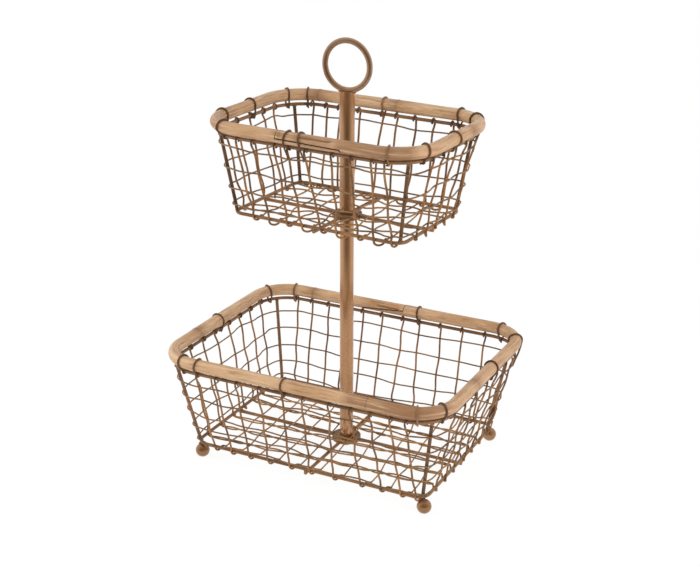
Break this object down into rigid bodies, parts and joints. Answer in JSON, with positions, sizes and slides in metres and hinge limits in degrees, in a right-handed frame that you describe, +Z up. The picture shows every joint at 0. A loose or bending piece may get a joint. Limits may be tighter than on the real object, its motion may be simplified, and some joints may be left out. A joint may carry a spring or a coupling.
{
  "type": "tiered wire basket",
  "caption": "Free-standing stand with a larger lower and a smaller upper wire basket, both with cane rims, on a central post with a ring handle and ball feet.",
  "frame": {"origin": "on the surface it stands on, under the post's axis", "axes": "+Z up, +X along the baskets' long side to the right, -Y towards the front"},
  "size_m": [0.3672, 0.2751, 0.4955],
  "materials": {
    "cane": "satin",
    "wire_paint": "satin",
    "post_paint": "gloss",
    "zinc": "satin"
  },
  "bodies": {
    "root": {"back_left_foot": "post_paint", "back_right_foot": "post_paint", "foot_pins": "wire_paint", "front_left_foot": "post_paint", "front_right_foot": "post_paint", "lower_back_left_post": "wire_paint", "lower_back_right_post": "wire_paint", "lower_back_uprights": "wire_paint", "lower_back_wefts": "wire_paint", "lower_base_ring": "wire_paint", "lower_cross_floor_bars": "wire_paint", "lower_cross_floor_wires": "wire_paint", "lower_front_left_post": "wire_paint", "lower_front_right_post": "wire_paint", "lower_front_uprights": "wire_paint", "lower_front_wefts": "wire_paint", "lower_hub": "wire_paint", "lower_left_uprights": "wire_paint", "lower_left_wefts": "wire_paint", "lower_long_floor_bars": "wire_paint", "lower_long_floor_wires": "wire_paint", "lower_post_tube": "post_paint", "lower_right_uprights": "wire_paint", "lower_right_wefts": "wire_paint", "lower_rim_cane": "cane", "lower_rim_ties": "wire_paint", "lower_top_ring": "wire_paint", "post_cap": "post_paint", "ring_handle": "post_paint", "tie_nut": "zinc", "tie_rod": "zinc", "tie_washer": "zinc", "upper_back_left_post": "wire_paint", "upper_back_right_post": "wire_paint", "upper_back_uprights": "wire_paint", "upper_back_wefts": "wire_paint", "upper_base_ring": "wire_paint", "upper_cross_floor_bars": "wire_paint", "upper_cross_floor_wires": "wire_paint", "upper_front_left_post": "wire_paint", "upper_front_right_post": "wire_paint", "upper_front_uprights": "wire_paint", "upper_front_wefts": "wire_paint", "upper_hub": "wire_paint", "upper_left_uprights": "wire_paint", "upper_left_wefts": "wire_paint", "upper_long_floor_bars": "wire_paint", "upper_long_floor_wires": "wire_paint", "upper_post_tube": "post_paint", "upper_right_uprights": "wire_paint", "upper_right_wefts": "wire_paint", "upper_rim_cane": "cane", "upper_rim_ties": "wire_paint", "upper_top_ring": "wire_paint"}
  },
  "joints": []
}
